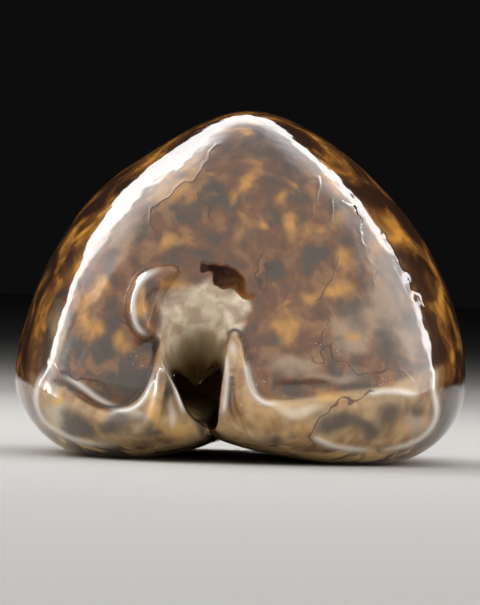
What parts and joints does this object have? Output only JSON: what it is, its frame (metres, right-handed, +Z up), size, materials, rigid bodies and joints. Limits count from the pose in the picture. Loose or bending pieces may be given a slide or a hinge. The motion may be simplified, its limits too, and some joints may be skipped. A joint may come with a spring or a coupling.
{
  "type": "cowrie shell",
  "caption": "Humped sea snail shell: a glossy hollow dome with a flattened base, a long narrow slit beneath and a canal mouth at each end.",
  "frame": {"origin": "centre of the shell's outline, on the surface that the base rests on", "axes": "+Z up through the dorsum, +Y towards the pointed anterior end, +X towards the outer lip"},
  "size_m": [0.0428, 0.06, 0.0331],
  "materials": {
    "shell": "porcelain-like natural gloss, dark brown mottled with amber, greyer callus at the ends"
  },
  "bodies": {
    "root": {"shell": "shell"}
  },
  "joints": []
}
